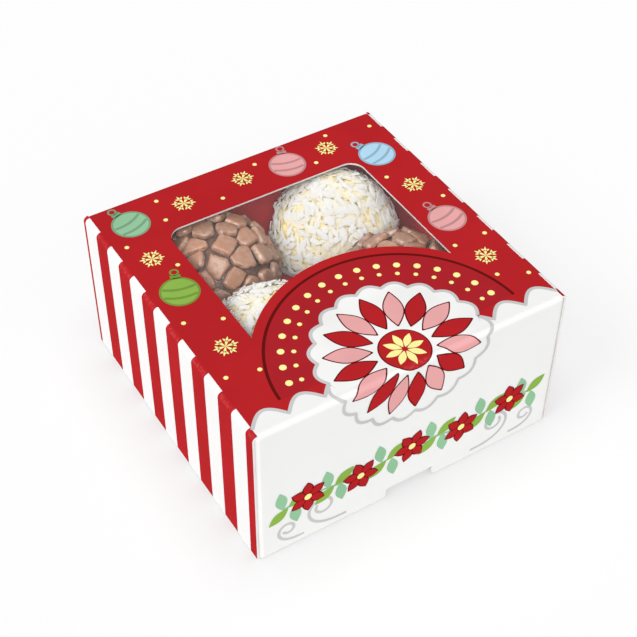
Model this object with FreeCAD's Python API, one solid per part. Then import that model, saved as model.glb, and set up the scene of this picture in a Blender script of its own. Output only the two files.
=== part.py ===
import FreeCAD, Part
import math
import os
import random

# Gift box for four sweets. A card lid with a film window lifts straight off a card tray, and a
# punched holder card in the tray carries the sweets close under the window.
# Millimetres, +Z up. The origin is on the ground under the middle of the box, and the front of
# the box, with the thumb notch, faces -Y.

Vector = FreeCAD.Vector

# Driving dimensions of the box
box_width = 80.0
box_depth = 80.0
box_height = 41.0
board = 0.45
fold_inner_radius = 0.75
lid_ground_gap = 0.4
lid_play = 0.1
cut_overrun = 1.0

# Glued corners of a folded carton
raw_end_setback = 0.35
flap_length = 14.0
flap_taper = 2.5
flap_relief = 0.6
flap_root_strip = 0.5

# Window in the lid, and the film glued behind it
window_side_margin = 13.9
window_back_margin = 15.2
window_front_margin = 24.8
window_corner_radius = 3.8
window_arch_rise = 13.0
film_thickness = 0.2
film_lap = 5.5

# Thumb notch in the lower edge of the lid's front wall
notch_width = 12.7
notch_height = 2.9
notch_foot_radius = 1.0
notch_root_radius = 0.6

# Room that the tray leaves round the sweets, which are rolled to fit its width. They are soft, and
# the front and back ones are pressed flat against each other.
side_room = 5.15
sweets_off_middle = 1.4
back_room = 0.25
sweet_gap = 0.6
sweet_press = 2.8
sweet_top_gap = 0.35

# Coats of the sweets: flat pieces that each keep to their own cell of the core
cell_shift_share = 0.22
plate_least_edge = 0.2
plate_least_depth = 1.2

# Chocolate chips on the dark sweets
chip_count = 62
chip_reach = 3.7
chip_sides = 8
chip_gap = 0.5
chip_thickness = 1.4
chip_belly_share = 0.45
chip_foot_share = 0.88
chip_crown_share = 0.8

# Shavings on the pale sweets
shaving_count = 210
shaving_length = 5.2
shaving_width = 2.1
shaving_gap = 0.3
shaving_thickness = 0.8
shaving_crown_share = 0.85

# Holder card that carries the sweets
holder_play = 0.3
holder_lap = 3.0
holder_corner_relief = 1.5
seat_gap = 0.05
coat_holder_gap = 0.4

# Sizes that follow from the driving dimensions
fold_radius = fold_inner_radius + board
lap_room = board + max(board, fold_inner_radius)
tray_width = box_width - 2 * (lap_room + lid_play)
tray_depth = box_depth - 2 * (lap_room + lid_play)
lid_underside = box_height - board
film_underside = lid_underside - film_thickness
tray_room_width = tray_width - 2 * (board + side_room)
sweet_radius = (tray_room_width - sweet_gap) / 4
sweet_pitch = 2 * sweet_radius + sweet_gap
sweet_flat_reach = sweet_radius - sweet_press
sweet_row_pitch = 2 * sweet_flat_reach + sweet_gap
sweet_centre_z = film_underside - sweet_top_gap - sweet_radius
sweet_rows_middle = tray_depth / 2 - board - back_room - sweet_radius - sweet_row_pitch / 2
chip_top_radius = math.sqrt(sweet_radius ** 2 - (chip_reach * chip_crown_share) ** 2)
core_radius = chip_top_radius - chip_thickness - seat_gap
holder_hole_radius = core_radius - holder_lap
holder_width = tray_width - 2 * (lap_room + holder_play)
holder_depth = tray_depth - 2 * (lap_room + holder_play)
holder_drop = math.sqrt((core_radius + seat_gap) ** 2 - holder_hole_radius ** 2)
holder_top = sweet_centre_z - holder_drop


def closed_face(edges):
    return Part.Face(Part.Wire([edge.toShape() for edge in edges]))


def line(start, end):
    return Part.LineSegment(start, end)


def quarter_arc(start, centre, end):
    """Quarter circle from start to end about centre, on the short side."""
    towards = (start - centre) + (end - centre)
    radius = (start - centre).Length
    return Part.Arc(start, centre + towards.normalize() * radius, end)


def round_edged_block(width, depth, low, high, radius):
    """Block whose upright and lower edges are rounded."""
    block = Part.makeBox(width, depth, high - low, Vector(-width / 2, -depth / 2, low))
    rounded = []
    for edge in block.Edges:
        box = edge.BoundBox
        if box.ZLength > radius or box.ZMax < low + radius:
            rounded.append(edge)
    return block.makeFillet(radius, rounded)


def open_tub(width, depth, height):
    """Thin-walled open tub on z = 0 with folded lower and upright edges."""
    outside = round_edged_block(width, depth, 0, height, fold_radius)
    inside = round_edged_block(
        width - 2 * board, depth - 2 * board, board, height + cut_overrun, fold_inner_radius
    )
    return outside.cut(inside)


def flap_surround(width, depth, height):
    """What is cut from the left wall of the end walls' layer, so that only glue flaps stay."""
    root = depth / 2 - fold_radius - flap_root_strip
    tip = depth / 2 - flap_length
    foot = fold_radius + flap_relief
    half = [
        (root, -cut_overrun),
        (root, foot),
        (tip, foot + flap_taper),
        (tip, height - flap_taper),
        (root, height),
        (root, height + cut_overrun),
    ]
    outline = half + [(-y, z) for y, z in reversed(half)]
    corners = [Vector(-width / 2 - cut_overrun, y, z) for y, z in outline]
    face = Part.Face(Part.makePolygon(corners + corners[:1]))
    return face.extrude(Vector(cut_overrun + fold_radius, 0, 0))


def side_wall(width, depth, height):
    """Left wall with its fold, between its two raw ends."""
    outer = -width / 2
    inner = outer + board
    rise = outer + fold_radius
    centre = Vector(rise, 0, fold_radius)
    top_out, top_in = Vector(outer, 0, height), Vector(inner, 0, height)
    fold_out, fold_in = Vector(outer, 0, fold_radius), Vector(inner, 0, fold_radius)
    foot_out, foot_in = Vector(rise, 0, 0), Vector(rise, 0, board)
    profile = closed_face([
        line(top_out, fold_out),
        quarter_arc(fold_out, centre, foot_out),
        line(foot_out, foot_in),
        quarter_arc(foot_in, centre, fold_in),
        line(fold_in, top_in),
        line(top_in, top_out),
    ])
    reach = depth / 2 - raw_end_setback
    profile.translate(Vector(0, -reach, 0))
    wall = profile.extrude(Vector(0, 2 * reach, 0))
    strip_depth = depth - 2 * fold_radius
    strip = Part.makeBox(board, strip_depth, board, Vector(rise, -strip_depth / 2, 0))
    return wall.fuse(strip)


def folded_carton(width, depth, height):
    """Open carton on z = 0, folded from one blank: the end walls' flaps are glued inside the side walls."""
    layer_width = width - 2 * board
    layer = open_tub(layer_width, depth, height)
    middle, across = Vector(0, 0, 0), Vector(1, 0, 0)
    surround = flap_surround(layer_width, depth, height)
    layer = layer.cut(surround).cut(surround.mirror(middle, across))
    wall = side_wall(width, depth, height)
    return layer.fuse([wall, wall.mirror(middle, across)]).removeSplitter()


def window_outline():
    """Window edge at z = 0: round back corners, and a front edge that bows inwards in one arc."""
    side = box_width / 2 - window_side_margin
    back = box_depth / 2 - window_back_margin
    tip = -box_depth / 2 + window_front_margin
    round_in = window_corner_radius
    left_tip, right_tip = Vector(-side, tip, 0), Vector(side, tip, 0)
    left_top, right_top = Vector(-side, back - round_in, 0), Vector(side, back - round_in, 0)
    back_left, back_right = Vector(-side + round_in, back, 0), Vector(side - round_in, back, 0)
    return [
        Part.Arc(left_tip, Vector(0, tip + window_arch_rise, 0), right_tip),
        line(right_tip, right_top),
        quarter_arc(right_top, Vector(side - round_in, back - round_in, 0), back_right),
        line(back_right, back_left),
        quarter_arc(back_left, Vector(-side + round_in, back - round_in, 0), left_top),
        line(left_top, left_tip),
    ]


def thumb_notch():
    """Cutter for the notch in the front wall's lower edge, with rounded feet and roots."""
    low = lid_ground_gap
    high = low + notch_height
    front = -box_depth / 2 - cut_overrun
    root, foot = notch_root_radius, notch_foot_radius
    half = notch_width / 2
    wide = half + foot

    def at(x, z):
        return Vector(x, front, z)

    edges = [line(at(-half + root, high), at(half - root, high))]
    edges.append(quarter_arc(at(half - root, high), at(half - root, high - root), at(half, high - root)))
    edges.append(line(at(half, high - root), at(half, low + foot)))
    edges.append(quarter_arc(at(half, low + foot), at(wide, low + foot), at(wide, low)))
    edges.append(line(at(wide, low), at(wide, low - cut_overrun)))
    edges.append(line(at(wide, low - cut_overrun), at(-wide, low - cut_overrun)))
    edges.append(line(at(-wide, low - cut_overrun), at(-wide, low)))
    edges.append(quarter_arc(at(-wide, low), at(-wide, low + foot), at(-half, low + foot)))
    edges.append(line(at(-half, low + foot), at(-half, high - root)))
    edges.append(quarter_arc(at(-half, high - root), at(-half + root, high - root), at(-half + root, high)))
    return closed_face(edges).extrude(Vector(0, 2 * cut_overrun + board, 0))


def lid_carton():
    shell = folded_carton(box_width, box_depth, box_height - lid_ground_gap)
    shell.rotate(Vector(0, 0, 0), Vector(1, 0, 0), 180)
    shell.translate(Vector(0, 0, box_height))
    opening = closed_face(window_outline())
    opening.translate(Vector(0, 0, lid_underside - cut_overrun))
    return shell.cut(opening.extrude(Vector(0, 0, board + 2 * cut_overrun))).cut(thumb_notch())


def window_film():
    width = box_width - 2 * window_side_margin + 2 * film_lap
    front = -box_depth / 2 + window_front_margin - film_lap
    back = box_depth / 2 - window_back_margin + film_lap
    return Part.makeBox(width, back - front, film_thickness, Vector(-width / 2, front, film_underside))


def tray_carton():
    return folded_carton(tray_width, tray_depth, lid_underside)


def sweet_places():
    """Centre of each sweet, by name: dark and pale sweets stand across from each other."""
    places = {}
    for row, y in (("back", sweet_row_pitch / 2), ("front", -sweet_row_pitch / 2)):
        for side, x in (("left", -sweet_pitch / 2), ("right", sweet_pitch / 2)):
            places[row + "_" + side] = Vector(sweets_off_middle + x, sweet_rows_middle + y, sweet_centre_z)
    return places


def sweet_room(place):
    """Block that a sweet at the origin keeps to, which ends at the flat it is pressed to."""
    reach = sweet_radius + cut_overrun
    corner = Vector(-reach, -sweet_flat_reach, -reach)
    room = Part.makeBox(2 * reach, reach + sweet_flat_reach, 2 * reach, corner)
    if place.startswith("front"):
        room.rotate(Vector(0, 0, 0), Vector(0, 0, 1), 180)
    return room


def sweet_holder():
    """Card with a hole under each sweet, and a flange folded down on each side as its legs."""
    leg = holder_top - board
    card = open_tub(holder_width, holder_depth, leg)
    slit = fold_radius + holder_corner_relief
    for x in (-holder_width / 2, holder_width / 2 - slit):
        for y in (-holder_depth / 2, holder_depth / 2 - slit):
            card = card.cut(Part.makeBox(slit, slit, leg, Vector(x, y, 0)))
    card.rotate(Vector(0, 0, 0), Vector(1, 0, 0), 180)
    card.translate(Vector(0, 0, holder_top))
    for place in sweet_places().values():
        foot = Vector(place.x, place.y, holder_top - board - cut_overrun)
        card = card.cut(Part.makeCylinder(holder_hole_radius, board + 2 * cut_overrun, foot))
    return card


def faceted_solid(rings):
    """Closed solid with flat faces through rings of corners, each ring listed anticlockwise from outside."""
    count = len(rings[0])
    outlines = [rings[0], rings[-1]]
    for low, high in zip(rings, rings[1:]):
        for i in range(count):
            after = (i + 1) % count
            outlines.append([low[i], low[after], high[after], high[i]])
    faces = [Part.Face(Part.makePolygon(outline + outline[:1])) for outline in outlines]
    solid = Part.Solid(Part.Shell(faces))
    if solid.Volume < 0:
        solid.reverse()
    return solid


def cell_frames(count, draw):
    """Frames (across, along, outward) spread over a unit ball on a golden-angle spiral, a little shifted."""
    golden_angle = math.pi * (3 - math.sqrt(5))
    shift = cell_shift_share * math.sqrt(4 * math.pi / count)
    frames = []
    for i in range(count):
        tilt = math.acos(1 - (2 * i + 1) / count) + shift * draw.uniform(-1, 1)
        heading = i * golden_angle + shift * draw.uniform(-1, 1) / math.sin(tilt)
        across = Vector(-math.sin(heading), math.cos(heading), 0)
        outward = Vector(
            math.sin(tilt) * math.cos(heading), math.sin(tilt) * math.sin(heading), math.cos(tilt)
        )
        frames.append((across, outward.cross(across), outward))
    return frames


def clipped(outline, nx, ny, limit):
    """The part of a convex outline where nx * x + ny * y is at most limit."""
    kept = []
    for (x0, y0), (x1, y1) in zip(outline, outline[1:] + outline[:1]):
        over0 = nx * x0 + ny * y0 - limit
        over1 = nx * x1 + ny * y1 - limit
        if over0 <= 0:
            kept.append((x0, y0))
        if (over0 <= 0) != (over1 <= 0):
            part = over0 / (over0 - over1)
            kept.append((x0 + part * (x1 - x0), y0 + part * (y1 - y0)))
    return kept


def without_short_edges(outline):
    kept = []
    for x, y in outline:
        if not kept or math.dist((x, y), kept[-1]) > plate_least_edge:
            kept.append((x, y))
    if math.dist(kept[0], kept[-1]) <= plate_least_edge:
        kept.pop()
    return kept


def cell_outline(outline, frame, frames, gap):
    """Outline on the plane that touches the core, held half a gap inside its cell among the frames."""
    across, along, outward = frame
    touch_radius = core_radius + seat_gap
    for other in frames:
        if other is frame:
            continue
        nx, ny = across.dot(other[2]), along.dot(other[2])
        sideways = math.hypot(nx, ny)
        border = touch_radius * (1 - outward.dot(other[2])) / sideways
        outline = clipped(outline, nx / sideways, ny / sideways, border - gap / 2)
    return without_short_edges(outline)


def turned(outline, angle):
    cos, sin = math.cos(angle), math.sin(angle)
    return [(x * cos - y * sin, x * sin + y * cos) for x, y in outline]


def pressed(plate, room):
    """The plate where it keeps to the sweet's room, or nothing where too little is left of it."""
    box, limit = plate.BoundBox, room.BoundBox
    if box.YMin >= limit.YMin and box.YMax <= limit.YMax:
        return [plate]
    kept = plate.common(room)
    return [solid for solid in kept.Solids if solid.BoundBox.YLength > plate_least_depth]


def coat(count, start_outline, gap, levels, seed, room):
    """Plates all over a core at the origin, but for those that would meet the holder."""
    draw = random.Random(seed)
    frames = cell_frames(count, draw)
    plates = []
    for frame in frames:
        across, along, outward = frame
        outline = cell_outline(turned(start_outline, 2 * math.pi * draw.random()), frame, frames, gap)
        rings = []
        for height, scale in levels:
            base = outward * (core_radius + seat_gap + height)
            rings.append([base + across * (scale * x) + along * (scale * y) for x, y in outline])
        lowest = min(corner.z for ring in rings for corner in ring)
        if lowest > coat_holder_gap - holder_drop:
            plates.extend(pressed(faceted_solid(rings), room))
    return Part.makeCompound(plates)


def chip_coat(seed, room):
    """Chips with rounded bellies, about as broad as their cells."""
    disc = [(chip_reach, 0)]
    outline = [turned(disc, 2 * math.pi * side / chip_sides)[0] for side in range(chip_sides)]
    levels = [
        (0, chip_foot_share),
        (chip_thickness * chip_belly_share, 1),
        (chip_thickness, chip_crown_share),
    ]
    return coat(chip_count, outline, chip_gap, levels, seed, room)


def shaving_coat(seed, room):
    """Narrow shavings that lie every way."""
    half_long, half_wide = shaving_length / 2, shaving_width / 2
    outline = [
        (-half_long, -half_wide), (half_long, -half_wide), (half_long, half_wide), (-half_long, half_wide),
    ]
    levels = [(0, 1), (shaving_thickness, shaving_crown_share)]
    return coat(shaving_count, outline, shaving_gap, levels, seed, room)


def sweets():
    """Core and coat of each sweet, by node name."""
    coats = {
        "back_left": ("chips", chip_coat),
        "back_right": ("shavings", shaving_coat),
        "front_left": ("shavings", shaving_coat),
        "front_right": ("chips", chip_coat),
    }
    nodes = {}
    for seed, (place, centre) in enumerate(sweet_places().items(), start=1):
        kind, make_coat = coats[place]
        room = sweet_room(place)
        core = Part.makeSphere(core_radius).common(room).Solids[0]
        pieces = make_coat(seed, room)
        for shape in (core, pieces):
            shape.translate(centre)
        nodes["sweet_core_" + place] = core
        nodes["sweet_" + kind + "_" + place] = pieces
    return nodes


def main():
    nodes = {
        "lid_carton": lid_carton(),
        "window_film": window_film(),
        "tray_carton": tray_carton(),
        "sweet_holder": sweet_holder(),
    }
    nodes.update(sweets())
    os.makedirs("parts", exist_ok=True)
    for name, shape in nodes.items():
        shape.exportStep("parts/" + name + ".step")
        box = shape.BoundBox
        print(
            f"{name}: {len(shape.Solids)} solids, valid {shape.isValid()}, {shape.Volume:.1f} mm3,"
            f" z {box.ZMin:.2f} to {box.ZMax:.2f}"
        )


main()
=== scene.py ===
"""Looks of a card gift box for sweets: its printed lid, its tray and film, and the coated sweets."""

import math

import bpy
import numpy as np
from bpy.props import FloatProperty, FloatVectorProperty, IntProperty, PointerProperty
from bpy.types import Operator, Panel, PropertyGroup
from mathutils import Matrix, Vector


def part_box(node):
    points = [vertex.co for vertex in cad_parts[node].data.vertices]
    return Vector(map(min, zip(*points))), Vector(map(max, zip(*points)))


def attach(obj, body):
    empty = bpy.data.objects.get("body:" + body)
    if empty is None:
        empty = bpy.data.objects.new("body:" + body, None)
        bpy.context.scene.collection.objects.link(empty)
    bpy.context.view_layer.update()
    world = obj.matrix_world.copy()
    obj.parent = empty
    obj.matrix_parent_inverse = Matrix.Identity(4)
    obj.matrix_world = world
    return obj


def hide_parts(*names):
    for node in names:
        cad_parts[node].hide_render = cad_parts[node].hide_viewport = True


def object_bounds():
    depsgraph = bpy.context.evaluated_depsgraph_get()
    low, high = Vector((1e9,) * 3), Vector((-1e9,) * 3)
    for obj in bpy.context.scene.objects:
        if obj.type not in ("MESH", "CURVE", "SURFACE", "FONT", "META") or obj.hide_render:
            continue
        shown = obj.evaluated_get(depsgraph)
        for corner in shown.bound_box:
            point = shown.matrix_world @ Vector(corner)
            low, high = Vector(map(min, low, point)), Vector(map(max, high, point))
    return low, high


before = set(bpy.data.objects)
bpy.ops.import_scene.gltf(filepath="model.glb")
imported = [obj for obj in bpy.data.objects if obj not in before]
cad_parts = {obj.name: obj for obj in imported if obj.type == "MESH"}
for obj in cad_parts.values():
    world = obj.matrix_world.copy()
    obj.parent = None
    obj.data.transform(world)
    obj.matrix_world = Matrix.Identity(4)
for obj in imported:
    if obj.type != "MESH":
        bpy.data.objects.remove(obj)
CAD_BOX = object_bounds()

bl_info = {
    "name": "Sweet gift box looks",
    "version": (1, 0, 0),
    "blender": (4, 5, 0),
    "location": "3D View > Sidebar > Sweet box",
    "description": "Prints the lid, finishes the card and the film, and coats the sweets",
    "category": "Object",
}

# Places read from the frame, in metres
LID_LOW, LID_HIGH = (np.array(corner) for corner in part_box("lid_carton"))
FILM_LOW, FILM_HIGH = (np.array(corner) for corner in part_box("window_film"))
TRAY_LOW, TRAY_HIGH = (np.array(corner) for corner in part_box("tray_carton"))
HOLDER_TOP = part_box("sweet_holder")[1][2]
BOARD = LID_HIGH[2] - FILM_HIGH[2]

DARK_SWEETS = ("back_left", "front_right")
PALE_SWEETS = ("back_right", "front_left")
DARK_SEED, PALE_SEED = 9, 11
GOLDEN_ANGLE = math.pi * (3 - math.sqrt(5))

# Outward directions of the four walls
FRONT, BACK, LEFT, RIGHT = (0, -1), (0, 1), (-1, 0), (1, 0)

# Printed motifs on the lid's top, placed in shares of half the lid's width: X, Y, turn in degrees
BAUBLE_SHARES = {
    "sage": ((-0.79, 0.79, 18),),
    "pink": ((0.27, 0.795, -14), (0.812, -0.12, 12)),
    "blue": ((0.795, 0.60, 24),),
    "lime": ((-0.812, 0.14, -16),),
}
TOP_FLAKE_SHARES = (
    (-0.44, 0.80, 8), (-0.03, 0.82, 20), (0.56, 0.81, 2), (-0.82, 0.46, 15),
    (-0.80, -0.36, 24), (0.82, 0.24, 10), (0.81, -0.50, 28),
)
TOP_DOT_SHARES = (
    (-0.57, 0.90), (-0.60, 0.72), (-0.22, 0.72), (0.10, 0.90), (0.43, 0.72), (0.91, 0.86), (-0.90, 0.62),
    (-0.72, 0.34), (-0.91, -0.09), (-0.71, -0.17), (-0.91, -0.56), (0.72, 0.38), (0.91, 0.06), (0.71, -0.34),
    (0.92, -0.34), (0.77, -0.66), (0.93, -0.74), (-0.73, -0.60), (0.62, 0.92),
)

# Printed motifs on the front wall: X in shares of half its width, height in shares down from the fold
FLOWER_SHARES = ((-0.68, 0.66), (-0.34, 0.70), (0.0, 0.66), (0.34, 0.70), (0.68, 0.66))

# Lobes of the white trim along the front, and points along its edge
TRIM_LOBES = 9
TRIM_POINTS = 32 * TRIM_LOBES + 1

# Scrolls on the right of the front wall: share of the longest, turns, and the place of the straight end
SCROLL_SHARES = ((1.0, 1.35, 0.42, 0.955), (0.62, 1.2, 0.70, 0.955))

# Snowflakes on the back wall: heights of the rows, X of the outer ones, and the shift of every other row
BACK_ROW_SHARES = (0.24, 0.52, 0.80)
BACK_END_SHARE = 0.78
BACK_SHIFT_SHARE = 0.13

# Rings of a chip and of a flake, from its top round its rim to its underside, in shares of its reach;
# and their heights, with those of the two poles first and last, in shares of its thickness
CHIP_RING_SHARES = np.array((0.35, 0.70, 0.86, 0.94, 0.98, 1.0, 0.99, 0.94, 0.6))
CHIP_HEIGHT_SHARES = np.array((1.0, 1.0, 0.985, 0.94, 0.85, 0.70, 0.48, 0.24, 0.06, 0.0, 0.0))
FLAKE_RING_SHARES = np.array((0.93, 1.0, 0.9))
FLAKE_HEIGHT_SHARES = np.array((1.0, 0.97, 0.5, 0.03, 0.0))


def colour_property(name, description, default):
    return FloatVectorProperty(
        name=name, description=description, default=default, size=3, min=0, max=1, subtype="COLOR"
    )


def length_property(name, description, default):
    return FloatProperty(
        name=name, description=description, default=default, min=0, unit="LENGTH", precision=5
    )


def place_property(name, description, default):
    return FloatVectorProperty(
        name=name, description=description, default=default, size=3, subtype="TRANSLATION"
    )


def angle_property(name, description, degrees):
    return FloatProperty(
        name=name, description=description, default=math.radians(degrees), subtype="ANGLE"
    )


def share_property(name, description, default):
    return FloatProperty(
        name=name, description=description, default=default, min=0, max=1, subtype="FACTOR"
    )


def strength_property(name, description, default):
    return FloatProperty(name=name, description=description, default=default, min=0)


def count_property(name, description, default):
    return IntProperty(name=name, description=description, default=default, min=8)


class SweetBoxCard(PropertyGroup):
    """Sizes and colours of the folded card and the film"""

    fold_radius: length_property("Fold radius", "Outside radius of the card's folds", 0.0012)
    raw_end: length_property("Raw end", "How far a side wall's cut end stops short of the corner", 0.00035)
    film_lap: length_property("Film lap", "How far the film is glued past the window's edge", 0.0055)
    window_corner: length_property("Window corner", "Radius of the window's back corners", 0.0038)
    window_rise: length_property("Window rise", "Rise of the arc that bounds the window in front", 0.013)
    white: colour_property("White", "Coated face of the card", (0.89, 0.89, 0.88))
    raw: colour_property("Raw", "Uncoated inside and cut edges of the card", (0.86, 0.85, 0.83))
    lining: colour_property("Lining", "Inside of the tray and the holder card", (0.97, 0.045, 0.055))
    film: colour_property("Film", "Faint tint of the clear film", (0.93, 0.93, 0.93))
    film_cover: share_property("Film cover", "Share of light that the film's haze holds back", 0.025)


class SweetBoxPrint(PropertyGroup):
    """Sizes and colours of the lid's print"""

    red: colour_property("Red", "Ground of the lid's top and of the stripes", (0.466, 0.0180, 0.0220))
    deep_red: colour_property("Deep red", "Dome round the rosette", (0.405, 0.0175, 0.0245))
    line_red: colour_property("Line red", "Dark outlines of dome and petals", (0.13, 0.008, 0.007))
    cream: colour_property("Cream", "Snowflakes and dots", (0.98, 0.92, 0.36))
    pink: colour_property("Pink", "Pink baubles and petals", (0.80, 0.39, 0.39))
    blue: colour_property("Blue", "Blue baubles", (0.44, 0.70, 0.88))
    sage: colour_property("Sage", "Sage baubles and leaves", (0.30, 0.56, 0.34))
    lime: colour_property("Lime", "Lime baubles and leaves", (0.27, 0.47, 0.08))
    grey: colour_property("Grey", "Lines on the white parts", (0.58, 0.58, 0.58))
    stripe_red: length_property("Red stripe", "Width of a red stripe on the side walls", 0.0057)
    stripe_white: length_property("White stripe", "Width of a white stripe on the side walls", 0.0059)
    stripe_sliver: length_property("Stripe sliver", "Width of the red sliver at the back end", 0.001)
    ink_lift: length_property("Ink lift", "How far the first print lies above the card", 0.00002)
    layer_lift: length_property("Layer lift", "How far one print lies above another", 0.000015)
    trim_base: length_property("Trim base", "White of the front that comes onto the top panel", 0.0012)
    trim_lobe: length_property("Trim lobe", "Rise of the lobes along the white trim", 0.0034)
    dome_inset: length_property("Dome inset", "Red border between the window and the dome", 0.0027)
    bead_out: length_property("Bead out", "How far large beads lie outside the dome's middle", 0.0011)
    bead_in: length_property("Bead in", "How far small beads lie inside the dome's middle", 0.0017)
    outline: length_property("Outline", "Width of dark outlines", 0.0007)
    grey_line: length_property("Grey line", "Width of the grey lines", 0.0008)
    petal_line: length_property("Petal line", "Width of the dark line round a petal", 0.00028)
    doily: length_property("Doily", "Radius of the white rosette", 0.0205)
    petal_start: length_property("Petal start", "Where the rosette's petals start", 0.0072)
    petal_end: length_property("Petal end", "Where the rosette's petals end", 0.0175)
    petal_half: length_property("Petal half width", "Half width of the rosette's petals", 0.0021)
    hub: length_property("Hub", "Radius of the rosette's middle", 0.0056)
    bauble: length_property("Bauble", "Radius of a bauble", 0.0046)
    snowflake: length_property("Snowflake", "Length of a snowflake's arm", 0.0030)
    dot: length_property("Dot", "Radius of a dot", 0.00055)
    flower: length_property("Flower", "Radius of a flower on the front", 0.0046)
    leaf: length_property("Leaf", "Length of a leaf on the front", 0.0062)
    curl: length_property("Curl", "Length of a grey scroll", 0.030)


class SweetBoxSweets(PropertyGroup):
    """Sizes and colours of the sweets' coats"""

    chips: count_property("Chips", "Chips on a dark sweet, hidden ones included", 108)
    chip_gap: length_property("Chip gap", "Gap between neighbouring chips", 0.00026)
    chip_least: length_property("Chip least", "Least distance from a chip's middle to a side", 0.0022)
    chip_most: length_property("Chip most", "Most distance from a chip's middle to a side", 0.0042)
    chip_thickness: length_property("Chip thickness", "Thickness of a chip", 0.0019)
    flakes: count_property("Flakes", "Flakes on a pale sweet, hidden ones included", 2200)
    flake_length: length_property("Flake length", "Mean length of a flake", 0.0035)
    flake_width: length_property("Flake width", "Mean width of a flake", 0.0014)
    flake_thickness: length_property("Flake thickness", "Mean thickness of a flake", 0.00025)
    flake_stand: length_property("Flake stand", "How far a flake may stand off the core", 0.0012)
    flake_softness: share_property("Flake softness", "How far a flake's shading follows the sweet", 0.45)
    chip: colour_property("Chip", "Milk chocolate of the chips", (0.475, 0.216, 0.116))
    # Bloom is partly real chocolate bloom and partly painted sheen: a pale colour that stands in for the
    # satin highlights on the chips
    bloom: colour_property("Bloom", "Pale scuffs on the chips", (0.72, 0.55, 0.46))
    dark_core: colour_property("Dark core", "Fudge of the dark sweets", (0.100, 0.050, 0.032))
    flake: colour_property("Flake", "White flakes", (0.79, 0.79, 0.79))
    # Pale core also colours the low flakes, brighter than the flakes themselves, partly as painted fill light
    pale_core: colour_property("Pale core", "Fudge of the pale sweets", (0.93, 0.79, 0.37))


class SweetBoxStage(PropertyGroup):
    """Camera, floor and light"""

    camera_place: place_property("Camera place", "Where the camera stands", (-0.12439, -0.19889, 0.25278))
    camera_target: place_property("Camera target", "What the camera looks at", (0.00049, 0.00048, 0.020))
    camera_roll: angle_property("Camera roll", "Turn of the camera about its own line of sight", 0.46)
    camera_view: angle_property("Camera view", "Angle that the square image takes in", 25.81)
    floor_size: length_property("Floor size", "Width of the floor", 6.0)
    floor: colour_property("Floor", "Pale floor", (0.84, 0.84, 0.84))
    floor_seen: colour_property("Floor seen", "What is seen of the light on the floor", (0.30, 0.30, 0.30))
    floor_glow: strength_property("Floor glow", "White that is seen on the floor, also in gloss", 0.68)
    # Contact and contact reach: a painted contact shadow, where the floor's white dims by ambient occlusion
    # near the box
    contact: share_property("Contact", "How far the white dims where the box closes off the floor", 0.4)
    contact_reach: length_property("Contact reach", "How far from the box the white dims", 0.018)
    sky: strength_property("Sky", "Even light from all round", 0.38)
    key: strength_property("Key", "Strength of the soft lamp on the left", 1.15)
    key_place: place_property("Key place", "Where the soft lamp stands", (-0.72, -0.05, 0.69))
    fill: strength_property("Fill", "Strength of the soft lamp beside the camera", 1.75)
    fill_place: place_property("Fill place", "Where the fill lamp stands", (-0.38, -0.60, 0.70))
    lamp_spread: angle_property("Lamp spread", "Angle over which a lamp shines", 28)


def card_settings():
    return bpy.context.scene.sweet_box_card


def print_settings():
    return bpy.context.scene.sweet_box_print


def sweet_settings():
    return bpy.context.scene.sweet_box_sweets


def stage_settings():
    return bpy.context.scene.sweet_box_stage


# Meshes


def even_angles(count):
    """Angles of count even steps once round."""
    return np.linspace(0, 2 * math.pi, count, endpoint=False)


def grid_quads(rows, cols, closed=False):
    """Quads between neighbours of a grid of points; closed joins the last column to the first."""
    row = np.arange(rows - 1)[:, None]
    col = np.arange(cols if closed else cols - 1)[None, :]
    after = (col + 1) % cols
    corners = [row * cols + col, (row + 1) * cols + col, (row + 1) * cols + after, row * cols + after]
    return np.stack(np.broadcast_arrays(*corners), axis=-1).reshape(-1, 4)


def fan(pole, ring_start, cols):
    """Triangles from a pole to each edge of a closed ring."""
    col = np.arange(cols)
    return np.stack([np.full(cols, pole), ring_start + col, ring_start + (col + 1) % cols], axis=-1)


def copies(faces, count, stride):
    """The same faces for each of count like pieces whose points follow each other."""
    return (faces[None] + stride * np.arange(count)[:, None, None]).reshape(-1, faces.shape[1])


def merged(sheets):
    """One (points, faces) from several, where faces is a list of index arrays."""
    points, faces, start = [], [], 0
    for sheet_points, sheet_faces in sheets:
        points.append(sheet_points)
        faces.extend(block + start for block in sheet_faces)
        start += len(sheet_points)
    return np.concatenate(points), faces


def add_piece(name, points, faces, material, body, attributes=None):
    """A mesh piece in the frame, riding on a body."""
    mesh = bpy.data.meshes.new(name)
    mesh.from_pydata(points.tolist(), [], [face for block in faces for face in block.tolist()])
    for attribute, values in (attributes or {}).items():
        layer = mesh.attributes.new(attribute, "FLOAT", "POINT")
        layer.data.foreach_set("value", np.ascontiguousarray(values, dtype=np.float32))
    mesh.polygons.foreach_set("use_smooth", np.full(len(mesh.polygons), True))
    mesh.materials.append(material)
    piece = bpy.data.objects.new(name, mesh)
    bpy.context.scene.collection.objects.link(piece)
    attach(piece, body)
    return piece


# Materials


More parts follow.
